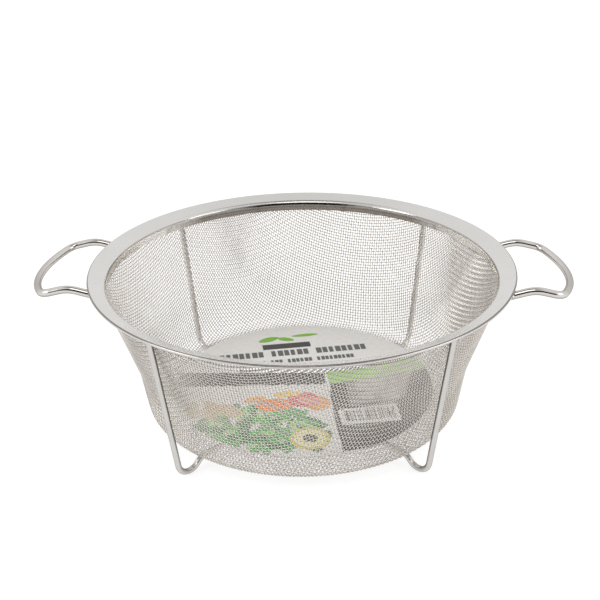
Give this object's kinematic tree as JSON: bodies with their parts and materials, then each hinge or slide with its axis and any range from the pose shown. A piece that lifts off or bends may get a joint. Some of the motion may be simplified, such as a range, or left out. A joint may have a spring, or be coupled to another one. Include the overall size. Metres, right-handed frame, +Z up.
{
  "type": "wire mesh colander",
  "caption": "Wide-rimmed stainless steel wire-mesh colander with two wire loop handles, standing on bent wire feet, with a paper disc inside.",
  "frame": {"origin": "on the resting plane, under the centre of the basket, where the two foot wires cross", "axes": "+X through the middle of the right handle, +Z up out of the basket's mouth, +Y towards the back, square to the line through the handles"},
  "size_m": [0.3214, 0.254, 0.0982],
  "materials": {
    "rim_steel": "satin",
    "wire_steel": "polished",
    "mesh_steel": "drawn wire",
    "card_print": "coated print"
  },
  "bodies": {
    "root": {"rim_flange": "rim_steel", "mesh_retaining_band": "rim_steel", "mesh_basket": "mesh_steel", "base_wire_a": "wire_steel", "base_wire_b": "wire_steel", "handle_left": "wire_steel", "handle_right": "wire_steel", "label_card": "card_print"}
  },
  "joints": []
}
